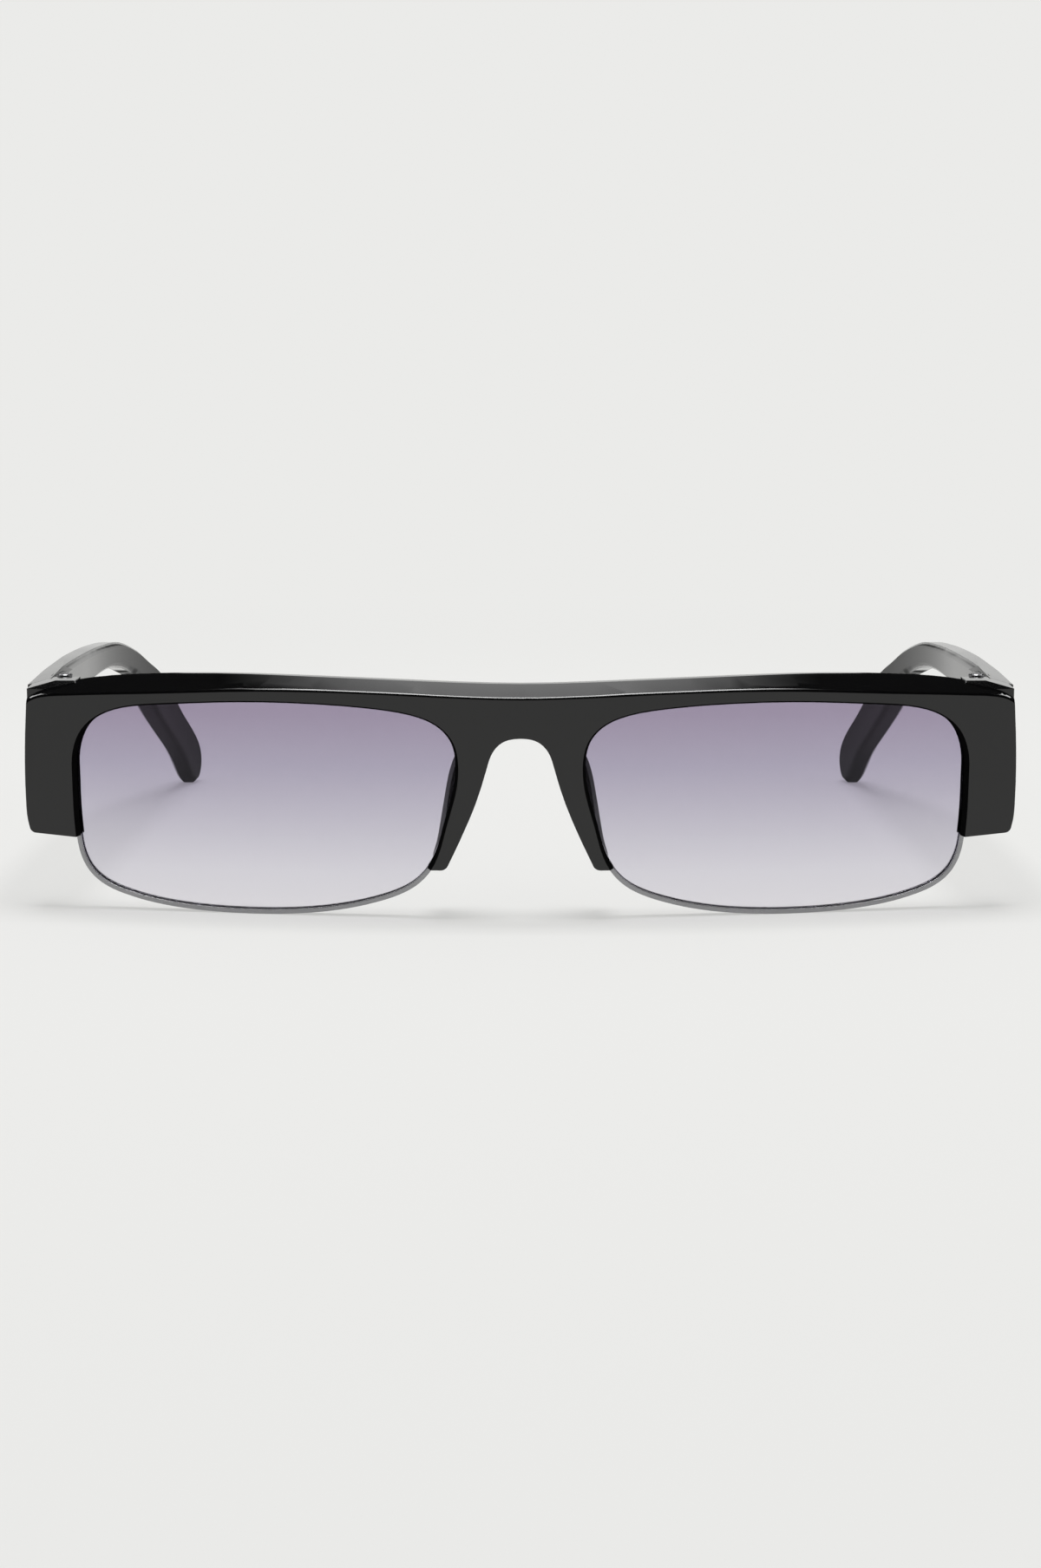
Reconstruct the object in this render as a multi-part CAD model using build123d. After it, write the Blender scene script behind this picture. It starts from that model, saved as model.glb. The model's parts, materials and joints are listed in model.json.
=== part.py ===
from build123d import *
import math
import os

# Sunglasses with a chunky plastic half frame, thin wire lower rims and slim folding arms.
# X runs across the face with the wearer's left at +X. Y runs from the front to the ear tips.
# Z runs up from the table that the lower rims and the ear tips stand on. Lengths in millimetres.

# Front frame
half_width = 72.6
front_height = 34.9
front_thickness = 5.0
face_radius = 260.0
bevel_depth = 3.2
edge_break = 0.3
endpiece_width = 7.6
endpiece_foot = 10.6
brow_height = 4.0
leg_foot = 7.2
foot_slope = 0.5
corner_round = 1.0
mould_draw = 1.0

# Eye openings, lenses and the groove that holds them
bridge_gap = 18.8
wall_flare = 0.45
lens_setback = 2.1
lens_thickness = 1.8
tongue_thickness = 0.8
tongue_height = 0.33
groove_floor = 0.42
fit_gap = 0.05

# Wire lower rims
rim_depth = 0.65
rim_breadth = 1.9
leg_tenon = 1.8
ear_height = 3.6
ear_width = 3.4
rim_screw_radius = 0.5
rim_screw_head_radius = 0.95
rim_screw_head_height = 0.45

# Nose pads
pad_length = 19.6
pad_width = 4.0
pad_depth = 4.2
pad_tilt = 15.0
pad_splay = 18.0
pad_inset = 0.48
pad_rise = 7.8

# Hinges
hinge_inset = 5.1
hinge_setback = 1.4
barrel_radius = 1.25
barrel_sink = 0.5
front_barrel_height = 1.2
temple_barrel_height = 1.1
barrel_gap = 0.1
pin_radius = 0.65
pin_clearance = 0.05
screw_head_radius = 1.15
screw_head_height = 0.5
screw_head_edge = 0.15
slot_width = 0.35
slot_depth = 0.25
leaf_thickness = 1.0
anchor_width = 3.4
anchor_height = 4.4
anchor_reach = 3.8
temple_leaf_length = 6.5
temple_leaf_thickness = 1.3
temple_leaf_proud = 0.2
relief_gap = 0.3

# Temples
butt_gap = 0.1
temple_overhang = 0.2
temple_thickness = 4.2
temple_length = 123.2
temple_drop = 1.1
straight_length = 39.3
sweep_radius = 420.0
inner_sweep_radius = 470.0
top_bevel_drop = 1.2
top_bevel_length = 34.0
temple_edge = 0.9
lug_width = 7.6
lug_height = 7.9
lug_reach = 0.26
core_height = 1.6
core_thickness = 0.8

# Shares of half_width and front_height along the top edge, from the centre to the corner
top_shares = [(0.0, 0.9685), (0.207, 0.98), (0.413, 0.9943), (0.592, 1.0), (0.716, 0.993),
              (0.833, 0.9756), (0.909, 0.95), (0.964, 0.92), (0.993, 0.901)]
# Shares of the same sizes along the lower edge of the long bevel
bevel_shares = [(0.0, 0.92), (0.207, 0.934), (0.413, 0.948), (0.592, 0.943), (0.716, 0.931),
                (0.833, 0.92), (0.909, 0.911), (0.96, 0.901), (0.984, 0.887), (0.998, 0.867),
                (1.01, 0.835)]
# Shares of bridge_gap and of the height above leg_foot down the nose arch, from its crown
arch_shares = [(0.0, 0.6894), (0.1313, 0.6715), (0.2085, 0.6208), (0.2549, 0.5381),
               (0.3282, 0.3755), (0.4248, 0.2128), (0.4995, 0.1022), (0.5575, 0.0206)]
# Shares of half_width and of the height above endpiece_foot down the endpiece's outer side
side_shares = [(0.994, 0.809), (0.998, 0.6065), (1.0, 0.3897), (0.999, 0.1871), (0.9965, 0.1008),
               (0.993, 0.0576)]
# Shares of eye_width and eye_height round the eye opening, from its centre
eye_shares = [(0.5, 0.169), (0.491, 0.289), (0.46, 0.386), (0.399, 0.45), (0.286, 0.48),
              (0.078, 0.5), (-0.134, 0.497), (-0.321, 0.47), (-0.424, 0.426), (-0.478, 0.356),
              (-0.5, 0.242), (-0.495, 0.095), (-0.471, -0.065), (-0.444, -0.229), (-0.4, -0.339),
              (-0.312, -0.42), (-0.149, -0.483), (0.051, -0.5), (0.232, -0.48), (0.377, -0.423),
              (0.453, -0.346), (0.484, -0.246), (0.495, -0.109), (0.499, 0.028)]
# Shares of temple_length and temple_top along the arm: distance back, top edge, bottom edge
arm_shares = [(0.0, 0.991, 0.778), (0.116, 1.0, 0.8225), (0.238, 0.997, 0.84), (0.36, 0.9867, 0.8476),
              (0.457, 0.972, 0.8476), (0.538, 0.9497, 0.821), (0.611, 0.9024, 0.769),
              (0.668, 0.852, 0.707), (0.733, 0.775, 0.55), (0.79, 0.704, 0.423),
              (0.847, 0.577, 0.3077), (0.912, 0.42, 0.16)]
# Shares of the same sizes round the ear tip, from its upper to its lower edge
tip_shares = [(0.9675, 0.293), (0.9976, 0.165), (0.998, 0.0855), (0.973, 0.0), (0.944, 0.056)]
# Rows of arm_shares that the core strip passes through
core_rows = (2, 5, 8, 10)
# How much of the shorter neighbouring run each bend of the core strip takes
core_bend_share = 0.45
# Shares of pad_width and pad_depth: how broad the pad is, and how far behind the frame
pad_shares = [(1.0, -0.15), (0.98, 0.5), (0.74, 0.85), (0.42, 1.0)]
# Shares of pad_width and pad_length round the pad, from its upper end down the lens side
pad_side_shares = [(0.1, 0.5), (0.42, 0.44), (0.545, 0.33), (0.49, 0.09), (0.345, -0.15),
                   (0.285, -0.33), (0.24, -0.435), (0.13, -0.468), (0.0, -0.43), (-0.12, -0.31),
                   (-0.25, -0.17), (-0.36, 0.03), (-0.41, 0.27), (-0.26, 0.44)]
# Shares of half_width or eye_width where the feet of the endpiece and of the leg turn
endpiece_corner_share = 0.98
endpiece_inner_share = 0.46
leg_outer_share = 0.42
# Where the rim's ear begins in the eye's half width, and where its screw sits in the ear
ear_start_share = 0.495
ear_screw_share = 0.6
neck_share = 0.8
barrel_count = 5
long_spans = 6
side_spans = 2


def bow_of(radius, run):
    """How far a circle has left its tangent after a run along the tangent."""
    return radius - math.sqrt(radius ** 2 - run ** 2)


def bow(x):
    """How far the front face has curved back at a distance x from the centre."""
    return bow_of(face_radius, x)


def front_layer(front, back):
    """A curved sheet that lies between two depths behind the front face."""
    tall = front_height * 2
    outer = Cylinder(face_radius - front, tall)
    inner = Cylinder(face_radius - back, tall * 2)
    return Pos(0, face_radius, front_height / 2) * (outer - inner)


def slab(low, high):
    """A plain box between two corners."""
    size = [b - a for a, b in zip(low, high)]
    middle = [(a + b) / 2 for a, b in zip(low, high)]
    return Pos(*middle) * Box(*size)


def mirrored(points):
    """Points from the centre outwards, continued on the other side of the centre."""
    return [(-x, z) for x, z in reversed(points[1:])] + points


def scaled(shares):
    return [(x * half_width, z * front_height) for x, z in shares]


def at_depth(points, y):
    return [Vector(x, y, z) for x, z in points]


def smooth_run(points, spans, closed=False):
    """One smooth curve through the points, cut into several edges."""
    curve = Edge.make_spline(points, periodic=closed)
    return [curve.trim(i / spans, (i + 1) / spans) for i in range(spans)]


def straight_run(points):
    return [Edge.make_line(a, b) for a, b in zip(points, points[1:])]


eye_width = half_width - bridge_gap / 2 - endpiece_width
eye_height = front_height - rim_depth - brow_height
eye_x = bridge_gap / 2 + eye_width / 2
eye_z = rim_depth + eye_height / 2
sweep_depth = bow(half_width) + front_thickness * 2
tongue_front = lens_setback + (lens_thickness - tongue_thickness) / 2
tongue_back = tongue_front + tongue_thickness
rim_front = lens_setback - (rim_breadth - lens_thickness) / 2
rim_back = rim_front + rim_breadth
temple_top = front_height - temple_drop
temple_outer_x = half_width + temple_overhang
lug_inner_x = half_width - lug_width
lug_foot = temple_top - lug_height
butt_y = bow(half_width) + front_thickness + lug_reach
barrel_top = temple_top - barrel_sink
hinge_axis_x = half_width - hinge_inset
hinge_axis_y = butt_y + hinge_setback
pad_centre_x = bridge_gap / 2 - pad_inset
pad_centre_z = leg_foot + pad_rise


def eye_edges(grow=0.0, y=0.0, flare=0.0):
    """The closed outline of the left eye, grown outwards and drawn at the depth y.

    With a flare, the growth falls off with the depth behind the bowed front face, so that a
    ruled wall between two such outlines leans alike all round.
    """
    base = Edge.make_spline([Vector(eye_x + a * eye_width, 0, eye_z + b * eye_height)
                             for a, b in eye_shares], periodic=True)
    count = len(eye_shares) * 2
    points = []
    for i in range(count):
        place = base.position_at(i / count)
        tangent = base.tangent_at(i / count)
        outward = Vector(tangent.Z, 0, -tangent.X)
        if outward.dot(place - Vector(eye_x, 0, eye_z)) < 0:
            outward = outward * -1
        depth_behind_face = y - bow(place.X)
        lean = flare * (1 - depth_behind_face / lens_setback)
        spot = place + outward * (grow + lean)
        points.append(Vector(spot.X, y, spot.Z))
    return Wire(smooth_run(points, long_spans, True))


def eye_prism(grow):
    face = Face(eye_edges(grow, -mould_draw))
    return Solid.extrude(face, Vector(0, sweep_depth + mould_draw, 0))


def eye_layer(grow, front, back):
    return eye_prism(grow) & front_layer(front, back)


def flared_eye():
    """The opening in front of the lens, wider at the face than at the lens."""
    near = eye_edges(0.0, -mould_draw, wall_flare)
    far = eye_edges(0.0, sweep_depth, wall_flare)
    return Solid.make_loft([near, far], True)


def brow_blank():
    """The half frame's outline, pushed through its curved thickness."""
    top = mirrored(scaled(top_shares))
    arch = mirrored([(x * bridge_gap, leg_foot + z * (front_height - leg_foot))
                     for x, z in arch_shares])
    side = [(x * half_width, endpiece_foot + z * (front_height - endpiece_foot))
            for x, z in side_shares]
    foot = (half_width * endpiece_corner_share, endpiece_foot + foot_slope)
    inner_foot = (eye_x + eye_width * endpiece_inner_share, endpiece_foot)
    leg_outer = (eye_x - eye_width * leg_outer_share, leg_foot)
    leg_inner = (arch[-1][0] + corner_round, leg_foot)
    y = -mould_draw
    left_side = [top[-1]] + side
    feet = [foot, inner_foot, leg_outer, leg_inner]
    edges = smooth_run(at_depth(top, y), long_spans) + smooth_run(at_depth(arch, y), long_spans)
    for mirror in (1, -1):
        edges += smooth_run(at_depth([(mirror * x, z) for x, z in left_side], y), side_spans)
        edges += straight_run(at_depth([(mirror * x, z) for x, z in feet], y))
        for start, before, end in ((foot, inner_foot, side[-1]), (leg_inner, leg_outer, arch[-1])):
            ends = at_depth([(mirror * x, z) for x, z in (start, before, end)], y)
            edges.append(Edge.make_tangent_arc(ends[0], ends[0] - ends[1], ends[2]))
    prism = Solid.extrude(Face(Wire(edges)), Vector(0, sweep_depth + mould_draw, 0))
    return prism & front_layer(0, front_thickness)


def both_sides(solid):
    return [solid, solid.mirror(Plane.YZ)]


def radial_plane(x, z):
    """A plane on the bowed front face whose normal points straight back through the frame."""
    lean = math.asin(x / face_radius)
    return Plane(origin=(x, bow(x), z), x_dir=(math.cos(lean), math.sin(lean), 0),
                 z_dir=(-math.sin(lean), math.cos(lean), 0))


def rod(plane, radius, start, end):
    """A round bar along a plane's normal, between two distances from the plane."""
    upright_bar = Cylinder(radius, end - start, align=(Align.CENTER, Align.CENTER, Align.MIN))
    return plane.location * Pos(0, 0, start) * upright_bar


# The long bevel along the top edge
def long_bevel_cutter():
    rise = (top_shares[0][1] - bevel_shares[0][1]) * front_height
    y = -mould_draw
    lower = [(x, z - (bow(x) - y) * rise / bevel_depth) for x, z in mirrored(scaled(bevel_shares))]
    high = front_height * 2
    corners = [lower[-1], (lower[-1][0], high), (lower[0][0], high), lower[0]]
    edges = smooth_run(at_depth(lower, y), long_spans) + straight_run(at_depth(corners, y))
    reach = (sweep_depth + mould_draw) / bevel_depth
    return Solid.extrude(Face(Wire(edges)), Vector(0, bevel_depth, rise) * reach)


# The falling outer edge on top of the arm and of the lug that it meets
butt_top = arm_shares[0][1] * temple_top
temple_inner_x = temple_outer_x - temple_thickness
temple_front_y = butt_y + butt_gap
bend_y = temple_front_y + straight_length


def top_bevel_cutter():
    inner = Vector(temple_inner_x, butt_y, butt_top)
    outer = Vector(temple_outer_x, butt_y, butt_top - top_bevel_drop)
    far = Vector(temple_outer_x, butt_y + top_bevel_length, temple_top)
    normal = (outer - inner).cross(far - inner)
    size = temple_length
    block = Box(size, size, temple_top, align=(Align.CENTER, Align.CENTER, Align.MIN))
    return Plane(origin=outer, z_dir=normal).location * block


def lug():
    """The block behind the endpiece that carries the hinge and stops the arm."""
    root_y = bow(lug_inner_x) + front_thickness / 2
    lug_outer_x = top_shares[-1][0] * half_width
    corners = [(lug_inner_x, root_y), (lug_outer_x, root_y), (lug_outer_x, butt_y),
               (lug_inner_x, butt_y)]
    outline = Face(Wire.make_polygon([Vector(x, y, lug_foot) for x, y in corners]))
    block = Solid.extrude(outline, Vector(0, 0, butt_top - lug_foot))
    return block - top_bevel_cutter()


# Hinge levels, from the top barrel down: the front carries three barrels, the temple two
def barrel_levels():
    levels = []
    top = barrel_top
    for i in range(barrel_count):
        height = temple_barrel_height if i % 2 else front_barrel_height
        levels.append((top - height, top))
        top -= height + barrel_gap
    return levels


front_levels = barrel_levels()[0::2]
temple_levels = barrel_levels()[1::2]
stack_low = front_levels[-1][0]
stack_middle = (stack_low + barrel_top) / 2
hinge_axis = Plane(origin=(hinge_axis_x, hinge_axis_y, 0))


def front_hinge(grow=0.0):
    """A plate let into the lug, its anchor inside the plastic, and three barrels on necks."""
    half = anchor_width / 2 + grow
    neck = barrel_radius * neck_share
    plate_front = butt_y - leaf_thickness
    anchor_front = butt_y - anchor_reach
    low = stack_middle - anchor_height / 2 - grow
    high = stack_middle + anchor_height / 2 + grow
    body = slab((hinge_axis_x - half, plate_front - grow, stack_low - grow),
                (hinge_axis_x + half, butt_y, barrel_top + grow))
    stem = anchor_width / 4 + grow
    body += slab((hinge_axis_x - stem, anchor_front, low), (hinge_axis_x + stem, butt_y, high))
    body += slab((hinge_axis_x - half, anchor_front - grow, low),
                 (hinge_axis_x + half, anchor_front + leaf_thickness + grow, high))
    if grow:
        return body
    for low, high in front_levels:
        body += rod(hinge_axis, barrel_radius, low, high)
        body += slab((hinge_axis_x - neck, butt_y - leaf_thickness / 2, low),
                     (hinge_axis_x + neck, hinge_axis_y, high))
    return body - rod(hinge_axis, pin_radius + pin_clearance, 0, temple_top * 2)


leaf_start_y = hinge_axis_y + barrel_radius + relief_gap
leaf_inner_x = temple_inner_x - temple_leaf_proud
leaf_outer_x = leaf_inner_x + temple_leaf_thickness


def temple_hinge(grow=0.0):
    """A leaf let into the arm's inner face, with two barrels on fingers."""
    body = slab((leaf_inner_x, leaf_start_y - grow, stack_low - grow),
                (leaf_outer_x + grow, leaf_start_y + temple_leaf_length + grow, barrel_top + grow))
    for low, high in temple_levels:
        body += slab((hinge_axis_x, hinge_axis_y - barrel_radius * neck_share - grow, low - grow),
                     (leaf_outer_x + grow, leaf_start_y + leaf_thickness, high + grow))
    if grow:
        return body
    for low, high in temple_levels:
        body += rod(hinge_axis, barrel_radius, low, high)
    return body - rod(hinge_axis, pin_radius + pin_clearance, 0, temple_top * 2)


def hinge_screw():
    """The slotted screw that is the hinge's pin."""
    shaft = rod(hinge_axis, pin_radius, stack_low, barrel_top)
    head = rod(hinge_axis, screw_head_radius, barrel_top, barrel_top + screw_head_height)
    head = chamfer(head.edges().group_by(Axis.Z)[-1], screw_head_edge)
    top = barrel_top + screw_head_height
    slot = slab((hinge_axis_x - screw_head_radius * 2, hinge_axis_y - slot_width / 2, top - slot_depth),
                (hinge_axis_x + screw_head_radius * 2, hinge_axis_y + slot_width / 2, top + slot_depth))
    return shaft + head - slot


# The arms
def arm_point(share_y, share_z):
    return Vector(0, temple_front_y + share_y * temple_length, share_z * temple_top)


def arm_centre_x(y, from_outside):
    """Where the arm lies across the face at the depth y, a given distance inside its outer face."""
    if y <= bend_y:
        return temple_outer_x - from_outside
    inward = from_outside / temple_thickness
    radius = sweep_radius + (inner_sweep_radius - sweep_radius) * inward
    return temple_outer_x - from_outside - bow_of(radius, y - bend_y)


def arm_plan():
    """The arm seen from above: straight to the bend, then one long sweep inwards."""
    end_y = temple_front_y + temple_length + mould_draw
    middle_y = (bend_y + end_y) / 2
    edges = []
    for inset in (0, temple_thickness):
        spots = [Vector(arm_centre_x(y, inset), y, 0) for y in (temple_front_y, bend_y, middle_y, end_y)]
        edges.append(Edge.make_line(spots[0], spots[1]))
        edges.append(Edge.make_three_point_arc(*spots[1:]))
    for y in (temple_front_y, end_y):
        edges.append(Edge.make_line(Vector(arm_centre_x(y, 0), y, 0),
                                    Vector(arm_centre_x(y, temple_thickness), y, 0)))
    plan = Face(Wire(edges))
    tall = temple_top + mould_draw * 2
    return Solid.extrude(plan, Vector(0, 0, tall)).moved(Pos(0, 0, -mould_draw))


def arm_side():
    """The arm seen from the side: slim, then a dropped paddle with a rounded tip."""
    top = [arm_point(y, high) for y, high, low in arm_shares]
    bottom = [arm_point(y, low) for y, high, low in reversed(arm_shares)]
    tip = [arm_point(y, z) for y, z in tip_shares]
    edges = smooth_run(top + tip + bottom, long_spans * 2) + straight_run([bottom[-1], top[0]])
    face = Face(Wire(edges)).moved(Pos(temple_outer_x / 2, 0, 0))
    return Solid.extrude(face, Vector(temple_outer_x, 0, 0))


def arm_skin_edges(arm):
    """The long edges between the arm's inner or outer face and its narrow upper and lower faces."""
    chosen = []
    for edge in arm.edges():
        spots = [edge.position_at(t) for t in (0, 0.25, 0.5, 0.75, 1)]
        for inset in (0, temple_thickness):
            off = max(abs(arm_centre_x(p.Y, inset) - p.X) for p in spots)
            if off < fit_gap and edge.length > temple_thickness * 2:
                chosen.append(edge)
    return chosen


def core_path():
    leaf_end = leaf_start_y + temple_leaf_length
    start = Vector(leaf_outer_x - core_thickness / 2, leaf_end + fit_gap, stack_middle)
    points = [start]
    for share_y, high, low in [arm_shares[row] for row in core_rows]:
        spot = arm_point(share_y, (high + low) / 2)
        points.append(Vector(arm_centre_x(spot.Y, temple_thickness / 2), spot.Y, spot.Z))
    radii = []
    for before, here, after in zip(points, points[1:], points[2:]):
        turn = math.radians((here - before).get_angle(after - here))
        shorter = min((here - before).length, (after - here).length)
        radii.append(core_bend_share * shorter / math.tan(turn / 2))
    return FilletPolyline(*points, radius=radii)


def core_strip(grow=0.0):
    path = core_path()
    start = Plane(origin=path @ 0, x_dir=(1, 0, 0), z_dir=path % 0)
    section = Face.make_rect(core_thickness + grow * 2, core_height + grow * 2, start)
    return Solid.sweep(section, path.wire())


def temple():
    arm = arm_side() & arm_plan()
    arm = chamfer(arm_skin_edges(arm), temple_edge) - top_bevel_cutter()
    arm = arm - rod(hinge_axis, barrel_radius + relief_gap, stack_low - relief_gap, temple_top * 2)
    return arm - temple_hinge(fit_gap) - core_strip(fit_gap)


# Lenses
def lens():
    pane = eye_layer(-fit_gap, lens_setback, lens_setback + lens_thickness)
    return pane + eye_layer(tongue_height, tongue_front, tongue_back)


# Wire rims: a grooved band under the lens, its ends let into the endpiece and the leg
ear_x = eye_x + eye_width * ear_start_share + ear_width * ear_screw_share
ear_z = endpiece_foot + ear_height / 2
# The screw leans inwards with the bow, so its line starts further out on the face
ear_plane = radial_plane(ear_x / (1 - rim_back / face_radius), ear_z)


def rim_body(grow=0.0):
    far = half_width * 2
    outer_end = slab((eye_x, -far, -far), (far, far, endpiece_foot + ear_height + grow))
    inner_end = slab((0, -far, -far), (eye_x, far, leg_foot + leg_tenon + grow))
    ear_zone = slab((eye_x, -far, endpiece_foot - (mould_draw if grow else -grow)),
                    (far, far, endpiece_foot + ear_height + grow))
    band = eye_layer(rim_depth + grow, rim_front - grow, rim_back + grow)
    ear = eye_layer(ear_width + grow, rim_front - grow, rim_back + grow) & ear_zone
    return (band & (outer_end + inner_end)) + ear - eye_prism(0)


def lower_rim():
    groove = eye_layer(groove_floor, tongue_front - fit_gap, tongue_back + fit_gap)
    hole = rod(ear_plane, rim_screw_radius + fit_gap, 0, front_thickness)
    return rim_body() - groove - hole


def rim_screw():
    back = front_thickness - fit_gap
    shaft = rod(ear_plane, rim_screw_radius, rim_front, back)
    head = rod(ear_plane, rim_screw_head_radius, back - rim_screw_head_height, back)
    return shaft + head


def rim_screw_hole():
    low = front_thickness - fit_gap - rim_screw_head_height
    shaft = rod(ear_plane, rim_screw_radius + fit_gap, rim_front - fit_gap, front_thickness)
    return shaft + rod(ear_plane, rim_screw_head_radius + fit_gap, low, front_thickness * 1.5)


# Nose pads: a long rounded outline that leans with the leg and splays out behind it
def pad_outline(share, y):
    lean = math.radians(pad_tilt)
    shift = math.tan(math.radians(pad_splay)) * (y - front_thickness)
    points = []
    for across_share, along_share in pad_side_shares:
        across = across_share * pad_width * share
        along = along_share * (pad_length - (1 - share) * pad_width)
        x = pad_centre_x + shift + across * math.cos(lean) - along * math.sin(lean)
        z = pad_centre_z + across * math.sin(lean) + along * math.cos(lean)
        points.append(Vector(x, y, z))
    return Wire([Edge.make_spline(points, periodic=True)])


def nose_pad():
    outlines = [pad_outline(share, front_thickness + deep * pad_depth) for share, deep in pad_shares]
    return Solid.make_loft(outlines, True) & front_layer(front_thickness, front_thickness * 3)


# The half frame
def bevel_edges(brow):
    """The edges where the long bevel meets the bowed face."""
    lowest = bevel_shares[-1][1] * front_height - edge_break
    return [edge for edge in brow.edges()
            if all(abs(edge.position_at(t).Y - bow(edge.position_at(t).X)) < fit_gap
                   and edge.position_at(t).Z > lowest for t in (0, 0.5, 1))]


def brow_front():
    brow = brow_blank() - long_bevel_cutter()
    brow = chamfer(bevel_edges(brow), edge_break)
    for block in both_sides(lug()):
        brow += block
    for tool in both_sides(eye_prism(0)) + both_sides(flared_eye()):
        brow -= tool
    groove = eye_layer(tongue_height + fit_gap, tongue_front - fit_gap, tongue_back + fit_gap)
    for tool in (groove, rim_body(fit_gap), front_hinge(fit_gap), rim_screw_hole()):
        for cutter in both_sides(tool):
            brow -= cutter
    return brow


pieces = {"brow_front": brow_front()}
for name, solid in (("nose_pad", nose_pad()), ("lens", lens()), ("lower_rim", lower_rim()),
                    ("rim_screw", rim_screw()), ("front_hinge", front_hinge()),
                    ("hinge_screw", hinge_screw()), ("temple", temple()),
                    ("temple_hinge", temple_hinge()), ("core_strip", core_strip())):
    pieces[name + "_left"], pieces[name + "_right"] = both_sides(solid)

depth = max(piece.bounding_box().max.Y for piece in pieces.values())
os.makedirs("parts", exist_ok=True)
for name, piece in pieces.items():
    export_step(piece.moved(Pos(0, -depth / 2, 0)), f"parts/{name}.step")
    print(name, len(piece.solids()), round(piece.volume, 1))
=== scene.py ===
import json
import math
import bmesh
import bpy
import numpy as np
from mathutils import Euler, Matrix, Vector
from mathutils.bvhtree import BVHTree


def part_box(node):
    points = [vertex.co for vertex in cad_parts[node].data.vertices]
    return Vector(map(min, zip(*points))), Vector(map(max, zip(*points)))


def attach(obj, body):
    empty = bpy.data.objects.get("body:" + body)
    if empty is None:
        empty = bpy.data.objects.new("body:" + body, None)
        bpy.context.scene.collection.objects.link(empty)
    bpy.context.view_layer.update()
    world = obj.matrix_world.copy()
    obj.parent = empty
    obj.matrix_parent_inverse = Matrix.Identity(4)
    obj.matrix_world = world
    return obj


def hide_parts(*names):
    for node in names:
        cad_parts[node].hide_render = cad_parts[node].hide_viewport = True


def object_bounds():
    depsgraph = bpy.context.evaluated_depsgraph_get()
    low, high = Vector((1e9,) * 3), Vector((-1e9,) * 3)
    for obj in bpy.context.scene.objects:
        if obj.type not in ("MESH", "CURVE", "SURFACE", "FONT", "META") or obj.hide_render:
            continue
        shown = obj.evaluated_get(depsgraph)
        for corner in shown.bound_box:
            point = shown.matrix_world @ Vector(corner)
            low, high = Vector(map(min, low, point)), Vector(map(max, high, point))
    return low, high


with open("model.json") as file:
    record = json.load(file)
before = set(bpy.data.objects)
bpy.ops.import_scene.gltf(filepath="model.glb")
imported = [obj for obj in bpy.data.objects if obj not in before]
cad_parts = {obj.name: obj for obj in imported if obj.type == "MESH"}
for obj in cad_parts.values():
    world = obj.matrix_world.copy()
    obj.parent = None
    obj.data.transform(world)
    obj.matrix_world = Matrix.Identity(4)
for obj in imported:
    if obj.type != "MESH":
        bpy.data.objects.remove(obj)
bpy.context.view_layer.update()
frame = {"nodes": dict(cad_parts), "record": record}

# Camera: it stands 40 cm in front of the glasses and 8 cm above the table, and looks slightly
# down. The focal length follows from the size of the lenses and the spread of the ear tips.
front_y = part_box("brow_front")[0].y
eye_distance = 0.400
eye_height = 0.0793
downward_tilt = 8.46

camera_data = bpy.data.cameras.new("camera")
camera_data.lens = 64.99
camera_data.sensor_width = 36.0
camera_data.clip_start = 0.01
camera = bpy.data.objects.new("camera", camera_data)
camera.location = (0.0, front_y - eye_distance, eye_height)
camera.rotation_euler = (math.radians(90.0 - downward_tilt), 0.0, 0.0)
bpy.context.scene.collection.objects.link(camera)
bpy.context.scene.camera = camera
bpy.context.scene.view_settings.view_transform = "Standard"

# Table and studio: a pale matt table top without an edge, before a backdrop of the same tone. The
# table takes the shadows. A good half of its tone is a painted glow of its own, which keeps the
# shadows pale, and further out it fades into the backdrop.
pale = (0.83, 0.83, 0.815, 1.0)
table_paint_colour = (0.8, 0.8, 0.785, 1.0)
table_width = 6.0
table_gap = 0.00002
table_own_light = 0.55
fade_start, fade_end = 0.16, 0.5
room_fill = 0.40
room_glow = (1.0, 1.0, 0.985, 1.0)
ceiling_start, ceiling_end = 0.115, 0.27
ceiling_tone, low_wall_tone = 0.02, 0.83
near_wall, far_wall = -0.35, 0.2
near_wall_share = 0.03


def flat_sheet(name, width, length):
    mesh = bpy.data.meshes.new(name)
    bm = bmesh.new()
    bmesh.ops.create_grid(bm, x_segments=1, y_segments=1, size=0.5)
    bm.to_mesh(mesh)
    bm.free()
    for v in mesh.vertices:
        v.co.x *= width
        v.co.y *= length
    sheet = bpy.data.objects.new(name, mesh)
    bpy.context.scene.collection.objects.link(sheet)
    return sheet


def new_material(name):
    material = bpy.data.materials.new(name)
    material.use_nodes = True
    material.node_tree.nodes.clear()
    return material, material.node_tree.nodes, material.node_tree.links


def add(nodes, kind, **values):
    """A new node. A value named in_ and a socket's name goes on that socket."""
    made = nodes.new(kind)
    for key, value in values.items():
        if key.startswith("in_"):
            made.inputs[key[3:].replace("_", " ")].default_value = value
        else:
            setattr(made, key, value)
    return made


def calculated(nodes, links, operation, *values):
    node = add(nodes, "ShaderNodeMath", operation=operation)
    for socket, value in zip(node.inputs, values):
        if isinstance(value, float):
            socket.default_value = value
        else:
            links.new(value, socket)
    return node.outputs[0]


def rescaled(nodes, links, value, **ends):
    scale = add(nodes, "ShaderNodeMapRange", **ends)
    links.new(value, scale.inputs["Value"])
    return scale.outputs["Result"]


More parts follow.
